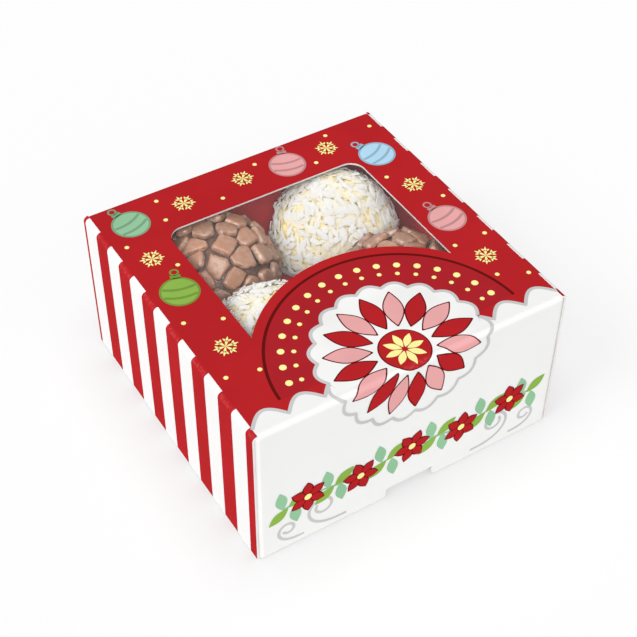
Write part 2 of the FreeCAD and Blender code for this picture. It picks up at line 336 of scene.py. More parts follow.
class Shading:
    """A material under construction: its nodes, its links and its one shader."""

    def __init__(self, name):
        self.material = bpy.data.materials.new(name)
        self.material.use_nodes = True
        self.nodes = self.material.node_tree.nodes
        self.links = self.material.node_tree.links
        self.shader = self.nodes["Principled BSDF"]
        self.place = self.nodes.new("ShaderNodeTexCoord").outputs["Object"]

    def join(self, value, socket):
        """Link an output to a socket, or set the socket to a plain value."""
        if isinstance(value, bpy.types.NodeSocket):
            self.links.new(value, socket)
        else:
            socket.default_value = value

    def math(self, operation, first, second=0.0, third=0.0):
        """Result of one operation on up to three values."""
        node = self.nodes.new("ShaderNodeMath")
        node.operation = operation
        for value, socket in zip((first, second, third), node.inputs):
            self.join(value, socket)
        return node.outputs[0]

    def chain(self, operation, *values):
        """The operation on the first two values, then on its result and each further value."""
        result = values[0]
        for value in values[1:]:
            result = self.math(operation, result, value)
        return result

    def noise(self, cell, detail=3.0, stretch=(1.0, 1.0, 1.0)):
        """Noise from 0 to 1 whose cells are about cell metres across."""
        mapping = self.nodes.new("ShaderNodeMapping")
        mapping.inputs["Scale"].default_value = stretch
        self.links.new(self.place, mapping.inputs["Vector"])
        node = self.nodes.new("ShaderNodeTexNoise")
        node.inputs["Scale"].default_value = 1 / cell
        node.inputs["Detail"].default_value = detail
        self.links.new(mapping.outputs["Vector"], node.inputs["Vector"])
        return node.outputs["Fac"]

    def remap(self, value, low, high, new_low, new_high):
        """Value carried smoothly from one range to another."""
        node = self.nodes.new("ShaderNodeMapRange")
        node.interpolation_type = "SMOOTHSTEP"
        for item, socket in zip((value, low, high, new_low, new_high), node.inputs):
            self.join(item, socket)
        return node.outputs["Result"]

    def mix(self, share, first, second):
        """Colour between first and second."""
        node = self.nodes.new("ShaderNodeMix")
        node.data_type = "RGBA"
        self.join(share, node.inputs["Factor"])
        for colour, socket in ((first, node.inputs["A"]), (second, node.inputs["B"])):
            self.join(colour if isinstance(colour, bpy.types.NodeSocket) else (*colour, 1.0), socket)
        return node.outputs["Result"]

    def attribute(self, name):
        """Value of one of the mesh's attributes."""
        node = self.nodes.new("ShaderNodeAttribute")
        node.attribute_name = name
        return node.outputs["Fac"]

    def axes(self):
        """Distances from the middle along X and Y, and the height."""
        node = self.nodes.new("ShaderNodeSeparateXYZ")
        self.links.new(self.place, node.inputs[0])
        x, y, z = node.outputs
        return self.math("ABSOLUTE", x), self.math("ABSOLUTE", y), z

    def set(self, socket, value):
        """Join a value to a socket of the shader."""
        self.join(value, self.shader.inputs[socket])

    def bump(self, height, depth, strength):
        """Relief of that depth in metres from a height of 0 to 1."""
        node = self.nodes.new("ShaderNodeBump")
        node.inputs["Distance"].default_value = depth
        node.inputs["Strength"].default_value = strength
        self.links.new(height, node.inputs["Height"])
        self.links.new(node.outputs["Normal"], self.shader.inputs["Normal"])


def shaded(colour, factor):
    """A colour made lighter or darker, kept within 0 to 1."""
    return tuple(min(channel * factor, 1.0) for channel in colour)


def card_surface(shading, dusk, colour, gloss):
    """Satin coated card: faint mottling, fine fibres and a slightly uneven gloss."""
    mottle = shading.remap(shading.noise(0.012), 0.3, 0.7, 0.0, 1.0)
    fibres = shading.noise(0.00035, detail=4.0, stretch=(1.0, 0.45, 1.0))
    shading.set("Base Color", shading.mix(mottle, dusk, colour))
    shading.set("Roughness", shading.remap(fibres, 0.3, 0.7, 0.38, 0.5))
    shading.set("Specular IOR Level", gloss)
    shading.bump(fibres, depth=0.00002, strength=0.3)


def fold_wear(shading, strength):
    """Share of worn ink, broken up by fine noise. Two ramps cross over a fold, each a half in its middle, so
    their product is a quarter there."""
    radius = card_settings().fold_radius
    x, y, z = shading.axes()
    outer = shading.math("MAXIMUM", x, y)
    over = shading.remap(outer, LID_HIGH[0] - radius, LID_HIGH[0], 0.0, 1.0)
    high = shading.remap(z, LID_HIGH[2] - radius, LID_HIGH[2], 0.0, 1.0)
    broken = shading.remap(shading.noise(0.0006), 0.4, 0.65, 0.0, 4 * strength)
    return shading.chain("MULTIPLY", over, high, broken)


def ink(name, colour, wear=0.035):
    """Printed and laminated ink, worn a little lighter along the folds."""
    shading = Shading(name)
    worn = fold_wear(shading, wear)
    pale = tuple(0.6 * channel + 0.4 for channel in colour)
    dark_side = shading.mix(worn, shaded(colour, 0.96), pale)
    light_side = shading.mix(worn, shaded(colour, 1.04), pale)
    card_surface(shading, dark_side, light_side, gloss=0.001)
    return shading.material


def lid_card():
    """White coated card outside, raw card inside and on the cut edges."""
    card = card_settings()
    shading = Shading("lid_card")
    x, y, z = shading.axes()
    skin = 0.25 * BOARD
    past_fold = LID_HIGH[0] + LID_HIGH[2] - card.fold_radius
    outside = shading.chain(
        "MAXIMUM",
        shading.math("GREATER_THAN", x, LID_HIGH[0] - skin),
        shading.math("GREATER_THAN", y, LID_HIGH[1] - skin),
        shading.math("GREATER_THAN", z, LID_HIGH[2] - skin),
        shading.math("GREATER_THAN", shading.math("ADD", shading.math("MAXIMUM", x, y), z), past_fold),
    )
    colour = shading.mix(outside, card.raw, card.white)
    dusk = shading.mix(outside, shaded(card.raw, 0.96), shaded(card.white, 0.985))
    card_surface(shading, dusk, colour, gloss=0.06)
    return shading.material


def tray_card():
    """White card whose inside is lined in red."""
    card = card_settings()
    shading = Shading("tray_card")
    x, y, z = shading.axes()
    skin = 0.93 * BOARD
    rim = 0.1 * BOARD
    upright_fold = BOARD + 1.06 * card.fold_radius
    corner = TRAY_HIGH[0] + TRAY_HIGH[1] - upright_fold
    lined = shading.chain(
        "MULTIPLY",
        shading.math("LESS_THAN", x, TRAY_HIGH[0] - skin),
        shading.math("LESS_THAN", y, TRAY_HIGH[1] - skin),
        shading.math("GREATER_THAN", z, TRAY_LOW[2] + skin),
        shading.math("LESS_THAN", z, TRAY_HIGH[2] - rim),
        shading.math("LESS_THAN", shading.math("ADD", x, y), corner),
    )
    colour = shading.mix(lined, card.white, card.lining)
    dusk = shading.mix(lined, shaded(card.white, 0.98), shaded(card.lining, 0.94))
    card_surface(shading, dusk, colour, gloss=0.06)
    return shading.material


def holder_card():
    """Card that is red all over."""
    lining = card_settings().lining
    shading = Shading("holder_card")
    card_surface(shading, shaded(lining, 0.93), lining, gloss=0.25)
    return shading.material


def clear_film():
    """Clear film with a faint haze and a few soft rub marks."""
    card = card_settings()
    shading = Shading("clear_film")
    shading.set("Base Color", (*card.film, 1.0))
    shading.set("Alpha", card.film_cover)
    rubbed = shading.noise(0.009, detail=2.0, stretch=(1.0, 0.3, 1.0))
    shading.set("Roughness", shading.remap(rubbed, 0.35, 0.7, 0.08, 0.2))
    shading.bump(shading.noise(0.02, detail=1.0), depth=0.00004, strength=0.3)
    return shading.material


def milk_chocolate():
    """Satin chocolate: each chip has its own tone, pale bloom and painted sheen most along its rim, and pits
    and dents.
    """
    settings = sweet_settings()
    colour = settings.chip
    shading = Shading("milk_chocolate")
    tone = shading.mix(shading.attribute("tone"), shaded(colour, 0.72), shaded(colour, 1.06))
    # Pale patches, partly bloom and scuffs and partly painted sheen, strongest along each chip's rim
    scuff_and_sheen = shading.remap(shading.noise(0.0012, detail=5.0), 0.40, 0.68, 0.0, 0.7)
    rim = shading.math("MULTIPLY_ADD", shading.attribute("rim"), 0.75, 0.25)
    shading.set("Base Color", shading.mix(shading.math("MULTIPLY", rim, scuff_and_sheen), tone, settings.bloom))
    shading.set("Roughness", shading.remap(shading.noise(0.0008, detail=4.0), 0.3, 0.7, 0.30, 0.48))
    shading.set("Specular IOR Level", 0.9)
    pits = shading.noise(0.00045, detail=5.0)
    dents = shading.noise(0.0032, detail=2.0)
    shading.bump(shading.math("MULTIPLY_ADD", dents, 3.0, pits), depth=0.00012, strength=0.7)
    return shading.material


def dark_fudge():
    """Moist dark fudge with a broken gloss."""
    colour = sweet_settings().dark_core
    shading = Shading("dark_fudge")
    patch = shading.remap(shading.noise(0.0025, detail=4.0), 0.35, 0.65, 0.0, 1.0)
    shading.set("Base Color", shading.mix(patch, shaded(colour, 0.7), shaded(colour, 1.6)))
    shading.set("Roughness", shading.remap(shading.noise(0.0015, detail=4.0), 0.35, 0.65, 0.22, 0.5))
    shading.bump(shading.noise(0.0016, detail=5.0), depth=0.0004, strength=0.8)
    return shading.material


def white_flakes():
    """White flakes, each a little warmer or cooler; low ones take the fudge's brighter yellow, most in
    patches: partly the fudge showing, partly painted fill light in their shade.
    """
    colour = sweet_settings().flake
    warm = (colour[0], 0.98 * colour[1], 0.92 * colour[2])
    shading = Shading("white_flakes")
    own = shading.mix(shading.attribute("tone"), warm, shaded(colour, 1.03))
    # Low flakes painted in the fudge's brighter yellow: partly its colour, partly painted fill light that
    # lifts the shade between flakes
    patch = shading.remap(shading.noise(0.007, detail=2.0), 0.38, 0.62, 0.5, 1.0)
    soak_and_painted_fill = shading.math("MULTIPLY", shading.attribute("depth"), patch)
    shading.set("Base Color", shading.mix(soak_and_painted_fill, own, sweet_settings().pale_core))
    shading.set("Diffuse Roughness", 1.0)
    shading.set("Roughness", shading.remap(shading.noise(0.0009, detail=3.0), 0.3, 0.7, 0.4, 0.6))
    shading.set("Specular IOR Level", 0.25)
    shading.bump(shading.noise(0.0005, detail=4.0), depth=0.00006, strength=0.35)
    return shading.material


def pale_fudge():
    """Soft yellow fudge between the flakes."""
    colour = sweet_settings().pale_core
    shading = Shading("pale_fudge")
    patch = shading.remap(shading.noise(0.003, detail=4.0), 0.35, 0.65, 0.0, 1.0)
    shading.set("Base Color", shading.mix(patch, shaded(colour, 0.9), shaded(colour, 1.08)))
    shading.set("Roughness", shading.remap(shading.noise(0.002), 0.3, 0.7, 0.4, 0.6))
    shading.bump(shading.noise(0.0012, detail=4.0), depth=0.0003, strength=0.7)
    return shading.material


def finish_node(node, material):
    """Give a node of the frame one material all over."""
    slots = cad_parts[node].data.materials
    slots.clear()
    slots.append(material)


# Flat print shapes, each as (points, faces) with its front up


def polar_sheet(reach, rings=2):
    """Shape round a middle point: even rings out to the reach given for each even angle."""
    angles = even_angles(len(reach))
    rim = reach[:, None] * np.column_stack([np.cos(angles), np.sin(angles)])
    shares = np.arange(1, rings + 1) / rings
    points = np.concatenate([np.zeros((1, 2)), (shares[:, None, None] * rim).reshape(-1, 2)])
    return points, [fan(0, 1, len(reach)), 1 + grid_quads(rings, len(reach), closed=True)]


def disc(radius, steps=24, rings=2):
    return polar_sheet(np.full(steps, radius), rings)


def between(inner, outer, rows=2, closed=False):
    """Sheet between two lines of as many points; the second lies to the right of the first."""
    share = np.linspace(0, 1, rows)[:, None, None]
    points = (inner + share * (outer - inner)).reshape(-1, 2)
    return points, [grid_quads(rows, len(inner), closed)]


def ribbon(path, width, rows=2):
    """Line of that width along a path: the path's points moved half the width to either side."""
    step = np.gradient(path, axis=0)
    normal = np.column_stack([-step[:, 1], step[:, 0]])
    normal *= 0.5 * width / np.linalg.norm(normal, axis=1, keepdims=True)
    return between(path + normal, path - normal, rows)


def petal(start, end, half_width, steps=13, rows=3):
    """Leaf along +Y from start to end: the half width goes as the sine of the way along."""
    way = np.linspace(0.02, 0.98, steps)
    half = np.column_stack([half_width * np.sin(math.pi * way), np.zeros(steps)])
    middle = np.column_stack([np.zeros(steps), start + (end - start) * way])
    return between(middle - half, middle + half, rows)


def arc(radius, start, end, steps=24):
    """Points on a circle round the origin between two angles."""
    angles = np.linspace(start, end, steps)
    return radius * np.column_stack([np.cos(angles), np.sin(angles)])


def ring(radius, width, steps=24):
    """Closed ring of that width inside the radius."""
    edge = arc(1.0, 0, 2 * math.pi, steps + 1)[:-1]
    return between((radius - width) * edge, radius * edge, closed=True)


def moved(sheet, place=(0.0, 0.0), turn=0.0):
    """A sheet turned and then moved."""
    points, faces = sheet
    cos, sin = math.cos(turn), math.sin(turn)
    return points @ np.array([[cos, sin], [-sin, cos]]) + np.array(place), faces


def round_about(sheet, count, place=(0.0, 0.0), turn=0.0):
    """Even turns of a sheet about the origin, moved to a place."""
    return merged([moved(sheet, place, turn + 2 * math.pi * k / count) for k in range(count)])


def snowflake(reach):
    """Six narrow leaves from the middle, each with a pair of short ones half-way out."""
    arm = petal(0.0, reach, 0.11 * reach, steps=7, rows=2)
    twig = petal(0.0, 0.42 * reach, 0.085 * reach, steps=5, rows=2)
    twigs = [moved(twig, (0.0, 0.48 * reach), lean) for lean in (-0.9, 0.9)]
    return round_about(merged([arm, *twigs]), 6)


def curl(length, turns):
    """Path that starts straight along +X and winds in: its heading grows with the square of the way."""
    way = np.linspace(0, 1, 90)
    heading = 2 * math.pi * turns * way ** 2
    return np.cumsum(length / len(way) * np.column_stack([np.cos(heading), np.sin(heading)]), axis=0)


# Print on the lid


def wrapped(points, wall, lift):
    """Flat print points laid over the lid's outside, lift above the card.

    A point is (along the wall, up from the line where the top panel's fold starts). Above that line it
    lies on the top panel; below, it goes a quarter turn round the fold and then straight down the wall.
    On the front and back walls it also goes a quarter turn round the upright folds at the ends, so near
    a corner it lies on a ball of the fold's radius."""
    radius = card_settings().fold_radius
    across, up = points[:, 0], points[:, 1]
    quarter = radius * math.pi / 2
    tilt = np.clip(-up, 0, quarter) / radius
    drop = np.maximum(-up - quarter, 0)
    straight = LID_HIGH[0] - BOARD - radius if wall in (FRONT, BACK) else LID_HIGH[1]
    beyond = np.where(up < 0, np.maximum(np.abs(across) - straight, 0), 0)
    turn = np.minimum(beyond, quarter) / radius
    ball = radius + lift
    along = np.sign(across) * (np.abs(across) - beyond + ball * np.sin(tilt) * np.sin(turn))
    reach = LID_HIGH[0] - radius - np.maximum(up, 0) + ball * np.sin(tilt) * np.cos(turn)
    height = LID_HIGH[2] - radius + ball * np.cos(tilt) - drop
    outward = np.array(wall)
    sideways = np.array((-outward[1], outward[0]))
    flat = along[:, None] * sideways + reach[:, None] * outward
    return np.column_stack([flat, height])


def add_print(name, sheets, material, layer, wall=FRONT):
    """One printed colour on the lid, so many layers above the card."""
    settings = print_settings()
    points, faces = merged(sheets)
    lift = settings.ink_lift + layer * settings.layer_lift
    return add_piece(name, wrapped(points, wall, lift), faces, material, "lid")


def fold_line():
    """Distance from the middle of the lid to the line where a fold starts on the top panel."""
    return LID_HIGH[0] - card_settings().fold_radius


def wall_foot():
    """Unfolded distance from the fold's start down to the lid's lower edge."""
    radius = card_settings().fold_radius
    return radius * math.pi / 2 + LID_HIGH[2] - radius - LID_LOW[2]


def on_top(x_share, y_share):
    """Print place of a point of the top panel that is given in shares of half the lid's width."""
    return x_share * LID_HIGH[0], y_share * LID_HIGH[0] + fold_line()


def on_wall(x_share, down_share):
    """Print place of a point of the front or back wall."""
    return x_share * LID_HIGH[0], -down_share * wall_foot()


def window_arc():
    """Radius of the arc in front of the window, and the Y of its centre."""
    card = card_settings()
    side = FILM_HIGH[0] - card.film_lap
    tip = FILM_LOW[1] + card.film_lap
    radius = (side ** 2 + card.window_rise ** 2) / (2 * card.window_rise)
    return radius, tip + card.window_rise - radius


def rosette_place():
    """Print place of the rosette, at the centre of the window's arc."""
    return np.array((0.0, window_arc()[1] + fold_line()))


def trim_height(across):
    """Edge of the red ground along the front: lobes that go as the size of a cosine."""
    settings = print_settings()
    phase = TRIM_LOBES * math.pi * across / (2 * fold_line())
    return settings.trim_base + settings.trim_lobe * np.abs(np.cos(phase))


def window_sides(steps):
    """Window edge as four lines, anticlockwise: front arc, right, back and left, which meet at the arc's
    ends and half-way round the back corners."""
    card = card_settings()
    side = FILM_HIGH[0] - card.film_lap
    back = FILM_HIGH[1] - card.film_lap
    tip = FILM_LOW[1] + card.film_lap
    radius, middle = window_arc()
    half_angle = math.asin(side / radius)
    front = arc(radius, math.pi / 2 + half_angle, math.pi / 2 - half_angle, steps) + (0, middle)
    half = 8
    corner = arc(card.window_corner, 0, math.pi / 2, 2 * half + 1)
    corner += (side - card.window_corner, back - card.window_corner)
    along = np.linspace(tip, corner[0, 1], 12, endpoint=False)
    right = np.concatenate([np.column_stack([np.full_like(along, side), along]), corner[:half + 1]])
    mirror = np.array((-1, 1))
    rear = np.concatenate([corner[half:], corner[half:][::-1] * mirror])
    return front, right, rear, right[::-1] * mirror


class SWEETBOX_OT_card(Operator):
    """Finish the card of the lid, tray and holder, and the film"""

    bl_idname = "sweet_box.card"
    bl_label = "Card and film"

    def execute(self, context):
        finish_node("lid_carton", lid_card())
        finish_node("tray_carton", tray_card())
        finish_node("sweet_holder", holder_card())
        finish_node("window_film", clear_film())
        return {"FINISHED"}


class SWEETBOX_OT_ground(Operator):
    """Print the red ground of the lid's top and back, and the grey line along its lobed front edge"""

    bl_idname = "sweet_box.ground"
    bl_label = "Red ground"

    def execute(self, context):
        settings = print_settings()
        red = ink("ink_red", settings.red)
        add_print("print_red_top", [self.top_panel()], red, layer=0)
        add_print("print_red_back", [self.back_wall()], red, layer=0, wall=BACK)
        across = np.linspace(-fold_line(), fold_line(), TRIM_POINTS)
        line = np.column_stack([across, trim_height(across)])
        grey = ink("ink_trim_line", settings.grey)
        add_print("print_trim_line", [ribbon(line, settings.grey_line)], grey, layer=1)
        return {"FINISHED"}

    def top_panel(self):
        """Sheet between the window's edge and the fold lines, side by side; in front it ends in lobes."""
        limit = fold_line()
        inner_sides = window_sides(TRIM_POINTS)
        start = (-limit, -limit + trim_height(limit))
        corners = [start, (limit, start[1]), (limit, limit), (-limit, limit), start]
        outer_sides = [
            np.linspace(first, last, len(inner))
            for first, last, inner in zip(corners, corners[1:], inner_sides)
        ]
        outer_sides[0][:, 1] = -limit + trim_height(outer_sides[0][:, 0])
        inner = np.concatenate([side[:-1] for side in inner_sides]) + (0, limit)
        outer = np.concatenate([side[:-1] for side in outer_sides]) + (0, limit)
        return between(inner, outer, rows=4, closed=True)

    def back_wall(self):
        """The back wall, from the fold line down, and in fine steps half-way round its upright folds."""
        width = LID_HIGH[0] - BOARD
        end = np.linspace(0.95, 1, 13)
        across = width * np.concatenate([-end[::-1], np.linspace(-0.9, 0.9, 19), end])
        levels = (0, -2 * card_settings().fold_radius, -wall_foot())
        top, fold, foot = (np.column_stack([across, np.full_like(across, level)]) for level in levels)
        return merged([between(top, fold, rows=14), between(fold, foot)])


class SWEETBOX_OT_stripes(Operator):
    """Print the upright stripes of the side walls, which run up over the folds"""

    bl_idname = "sweet_box.stripes"
    bl_label = "Side stripes"

    def execute(self, context):
        red = ink("ink_stripe", print_settings().red)
        for name, wall, back_end in (("print_stripes_left", LEFT, -1), ("print_stripes_right", RIGHT, 1)):
            add_print(name, self.stripes(back_end), red, layer=0, wall=wall)
        return {"FINISHED"}

    def stripes(self, back_end):
        """A sliver at the back end, then equal red stripes with white between, to the front end."""
        settings = print_settings()
        reach = LID_HIGH[1] - card_settings().raw_end
        period = settings.stripe_red + settings.stripe_white
        starts = np.arange(settings.stripe_sliver - settings.stripe_red - reach, reach, period)
        fold = 2 * card_settings().fold_radius
        down = np.concatenate([np.linspace(0, -fold, 14), [-wall_foot()]])
        sheets = []
        for start in starts:
            edges = np.clip((start, start + settings.stripe_red), -reach, reach)
            low, high = sorted(-back_end * edges)
            left = np.column_stack([np.full_like(down, low), down])
            right = np.column_stack([np.full_like(down, high), down])
            sheets.append(between(right, left))
        return sheets


class SWEETBOX_OT_rosette(Operator):
    """Print the dome in front of the window and the rosette that runs over the front fold"""

    bl_idname = "sweet_box.rosette"
    bl_label = "Rosette"

    def execute(self, context):
        settings = print_settings()
        place = rosette_place()
        dome = window_arc()[0] - settings.dome_inset
        low = math.asin((settings.trim_base + settings.trim_lobe + settings.outline - place[1]) / dome)
        edge, inner = (arc(radius, low, math.pi - low, 181) for radius in (dome, 0.9 * settings.doily))
        deep = ink("ink_deep_red", settings.deep_red)
        add_print("print_dome", [moved(between(inner, edge), place)], deep, layer=1)
        line = ink("ink_line_red", settings.line_red)
        add_print("print_dome_line", [moved(ribbon(edge, settings.outline), place)], line, layer=2)
        first, count = low + 0.12, 17
        midway = 0.5 * (dome + settings.doily)
        large_row = (1.5 * settings.dot, midway + settings.bead_out)
        small_row = (settings.dot, midway - settings.bead_in)
        beads = [
            moved(disc(radius, steps=12), place + arc(reach, angle, angle, 1)[0])
            for angle in np.linspace(first, math.pi - first, count)
            for radius, reach in (large_row, small_row)
        ]
        add_print("print_dome_beads", beads, ink("ink_bead", settings.cream), layer=2)
        self.add_doily(place, line)
        return {"FINISHED"}

    def add_doily(self, place, line):
        """White scalloped round whose reach goes as the size of a sine, with petals and a hub."""
        settings = print_settings()
        card = card_settings()
        foot = 0.3 * card.fold_radius - place[1]
        low = math.asin(foot / settings.doily)
        edge = self.scallops(0, 2 * math.pi, 541)
        top = self.scallops(low, math.pi - low, 301)
        chord = np.column_stack([np.linspace(top[0, 0], top[-1, 0], len(top)), np.full(len(top), foot)])
        white = ink("ink_white", card.white, wear=0.0)
        add_print("print_doily", [moved(between(chord, top, rows=6), place)], white, layer=2)
        grey = ink("ink_grey", settings.grey)
        add_print("print_doily_line", [moved(ribbon(edge, settings.grey_line, rows=3), place)], grey, layer=3)
        count = 16
        rim = settings.petal_line
        start, end, half = settings.petal_start, settings.petal_end, settings.petal_half
        wide = petal(start - 2 * rim, end + 2 * rim, half + rim, steps=41, rows=17)
        slim = petal(start, end, half, steps=41, rows=17)
        add_print("print_petal_lines", [round_about(wide, count, place)], line, layer=3)
        red = ink("ink_petal_red", settings.red)
        pink = ink("ink_petal_pink", settings.pink)
        step = 2 * math.pi / count
        for name, material, turn in (("red", red, 0.0), ("pink", pink, step)):
            add_print("print_petals_" + name, [round_about(slim, count // 2, place, turn)], material, layer=4)
        hub = settings.hub
        add_print("print_hub_line", [moved(disc(hub + rim, steps=72, rings=24), place)], line, layer=3)
        add_print("print_hub", [moved(disc(hub, steps=72, rings=24), place)], red, layer=4)
        star = round_about(petal(0.1 * hub, 0.86 * hub, 0.15 * hub, steps=21, rows=7), 8, place)
        add_print("print_hub_star", [star], ink("ink_star", settings.cream), layer=5)

    def scallops(self, start, end, steps):
        """Points of the doily's edge between two angles."""
        angles = np.linspace(start, end, steps)
        lobes, rise = 20, 0.07
        reach = print_settings().doily * (1 - rise + rise * np.abs(np.sin(lobes / 2 * angles)))
        return reach[:, None] * np.column_stack([np.cos(angles), np.sin(angles)])


class SWEETBOX_OT_baubles(Operator):
    """Print the baubles on the red top"""

    bl_idname = "sweet_box.baubles"
    bl_label = "Baubles"

    def execute(self, context):
        settings = print_settings()
        for name, places in BAUBLE_SHARES.items():
            colour = getattr(settings, name)
            bodies, lines = [], []
            for x_share, y_share, degrees in places:
                body, line = self.bauble()
                place = on_top(x_share, y_share)
                bodies.append(moved(body, place, math.radians(degrees)))
                lines.append(moved(line, place, math.radians(degrees)))
            plain = ink("ink_" + name, colour)
            dark = ink("ink_dark_" + name, shaded(colour, 0.66))
            add_print("print_bauble_" + name, bodies, plain, layer=1)
            add_print("print_bauble_lines_" + name, lines, dark, layer=2)
        return {"FINISHED"}

    def bauble(self):
        """A disc; and its lines: rim, two bowed bands, cap and loop."""
        radius = print_settings().bauble
        width = print_settings().outline
        bands = []
        for level in (-0.28, 0.30):
            half = math.sqrt(1 - level ** 2) * (radius - width)
            x = np.linspace(-half, half, 21)
            bow = level * radius - 0.16 * radius * (1 - (x / half) ** 2)
            bands.append(ribbon(np.column_stack([x, bow]), width))
        cap = ribbon(np.array([(0, 0.94 * radius), (0, 1.2 * radius)]), 0.52 * radius)
        loop = moved(ring(0.24 * radius, 0.6 * width), (0, 1.4 * radius))
        return disc(radius, steps=48), merged([ring(radius, 0.7 * width, steps=48), *bands, cap, loop])


class SWEETBOX_OT_snowflakes(Operator):
    """Print the snowflakes and dots on the red top and back"""

    bl_idname = "sweet_box.snowflakes"
    bl_label = "Snowflakes"

    def execute(self, context):
        settings = print_settings()
        cream = ink("ink_cream", settings.cream)
        flake = snowflake(settings.snowflake)
        dot = disc(settings.dot, steps=12)
        top = [moved(flake, on_top(x, y), math.radians(turn)) for x, y, turn in TOP_FLAKE_SHARES]
        top += [moved(dot, on_top(x, y)) for x, y in TOP_DOT_SHARES]
        add_print("print_flakes_top", top, cream, layer=1)
        back = []
        shift = BACK_SHIFT_SHARE
        for row, down in enumerate(BACK_ROW_SHARES):
            for x in np.linspace(-BACK_END_SHARE, BACK_END_SHARE, 6) + (shift if row % 2 else 0.0):
                if abs(x) < 0.9:
                    back.append(moved(flake, on_wall(x, down), 3 * x + row))
                    back.append(moved(dot, on_wall(x - shift, down - shift)))
        add_print("print_flakes_back", back, cream, layer=1, wall=BACK)
        return {"FINISHED"}


class SWEETBOX_OT_garland(Operator):
    """Print the row of flowers, the vine and the scrolls on the white front wall"""

    bl_idname = "sweet_box.garland"
    bl_label = "Front garland"

    def execute(self, context):
        settings = print_settings()
        flower, rim = settings.flower, settings.petal_line
        places = [on_wall(*shares) for shares in FLOWER_SHARES]
        bloom = petal(0.12 * flower, flower, 0.26 * flower)
        shadow = petal(0.05 * flower, flower + rim, 0.26 * flower + rim)
        line = ink("ink_flower_line", settings.line_red)
        red = ink("ink_flower", settings.red)
        cream = ink("ink_flower_heart", settings.cream)
        self.add_scrolls()
        self.add_vine(np.array(places))
        for name, shape, material, layer in (("flower_lines", shadow, line, 4), ("flowers", bloom, red, 5)):
            heads = [round_about(shape, 6, place, 0.3 * index) for index, place in enumerate(places)]
            add_print("print_" + name, heads, material, layer)
        hearts = [moved(disc(0.2 * flower), place) for place in places]
        add_print("print_flower_hearts", hearts, cream, layer=6)
        return {"FINISHED"}

    def add_vine(self, knots):
        """A wave through the flowers, with a pair of leaves of each green in every gap and at the ends."""
        settings = print_settings()
        first, last = knots[0, 0], knots[-1, 0]
        pitch = knots[1, 0] - first
        mean, swing = knots[:, 1].mean(), np.ptp(knots[:, 1]) / 2
        x = np.linspace(first - settings.leaf, last + settings.leaf, 121)
        wave = np.column_stack([x, mean + swing * np.cos(math.pi * (x - first) / pitch)])
        sage = ink("ink_vine", settings.sage)
        lime = ink("ink_leaf_lime", settings.lime)
        add_print("print_vine", [ribbon(wave, 0.75 * settings.grey_line)], sage, layer=1)
        leaf = petal(0.0, settings.leaf, 0.24 * settings.leaf)
        end = 0.36 * pitch
        middles = np.concatenate([[first - end], knots[1:, 0] - pitch / 2, [last + end]])
        # Lean of the leaves, and the share of the pitch from the middle of their gap to each of the pair
        kinds = (("sage", sage, 0.12, 0.1, 2), ("lime", lime, -0.95, 0.0, 3))
        for name, material, lean, apart, layer in kinds:
            sheets = [
                moved(leaf, (middle + side * apart * pitch, mean), lean + (math.pi if side > 0 else 0.0))
                for middle in middles
                for side in (-1, 1)
            ]
            add_print("print_leaves_" + name, sheets, material, layer)

    def add_scrolls(self):
        """A pair of curls, mirrored, near each lower corner of the front."""
        settings = print_settings()
        sheets = []
        for side in (-1, 1):
            for length, turns, x_share, down_share in SCROLL_SHARES:
                path = curl(length * settings.curl, turns) * (side, 1) + on_wall(side * x_share, down_share)
                sheets.append(ribbon(path, settings.grey_line))
        add_print("print_scrolls", sheets, ink("ink_scroll", settings.grey), layer=0)


# Sweets


def core_ball(place):
    """Middle and radius of a sweet's core, and its flat, which the other row's sweet presses."""
    low, high = (np.array(corner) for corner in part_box("sweet_core_" + place))
    radius = (high[2] - low[2]) / 2
    middle = (low + high) / 2
    back = place.startswith("back")
    middle[1] = high[1] - radius if back else low[1] + radius
    return middle, radius, (low[1] if back else high[1])


def spread(count, draw, shift):
    """Unit frames (across, along, outward) on a golden-angle spiral over a ball: equal steps of height,
    each turned by the golden angle, and moved by up to shift of a cell's width."""
    index = np.arange(count)
    cell = math.sqrt(4 * math.pi / count)
    tilt = np.arccos(1 - (2 * index + 1) / count) + shift * cell * draw.uniform(-1, 1, count)
    heading = index * GOLDEN_ANGLE + shift * cell * draw.uniform(-1, 1, count) / np.sin(tilt)
    across = np.column_stack([-np.sin(heading), np.cos(heading), np.zeros(count)])
    level = np.sin(tilt)
    outward = np.column_stack([level * np.cos(heading), level * np.sin(heading), np.cos(tilt)])
    return across, np.cross(outward, across), outward


def cell_nearness(frames, radius, gap, angles, sharpness):
    """Nearness of each cell's border at each angle, raised to sharpness.

    Every neighbour bounds the cell with a straight line half-way to it, less half the gap. A line's
    nearness at an angle is the cosine to the neighbour over the line's distance."""
    across, along, outward = frames
    side_x, side_y = across @ outward.T, along @ outward.T
    sideways = np.hypot(side_x, side_y)
    np.fill_diagonal(sideways, 1)
    border = radius * (1 - outward @ outward.T) / sideways - gap / 2
    np.fill_diagonal(border, radius)
    bearing = np.arctan2(side_y, side_x)
    facing = np.maximum(np.cos(angles[None, None, :] - bearing[:, :, None]), 0)
    facing[np.arange(len(outward)), np.arange(len(outward))] = 0
    return ((facing / border[:, :, None]) ** sharpness).sum(axis=1)


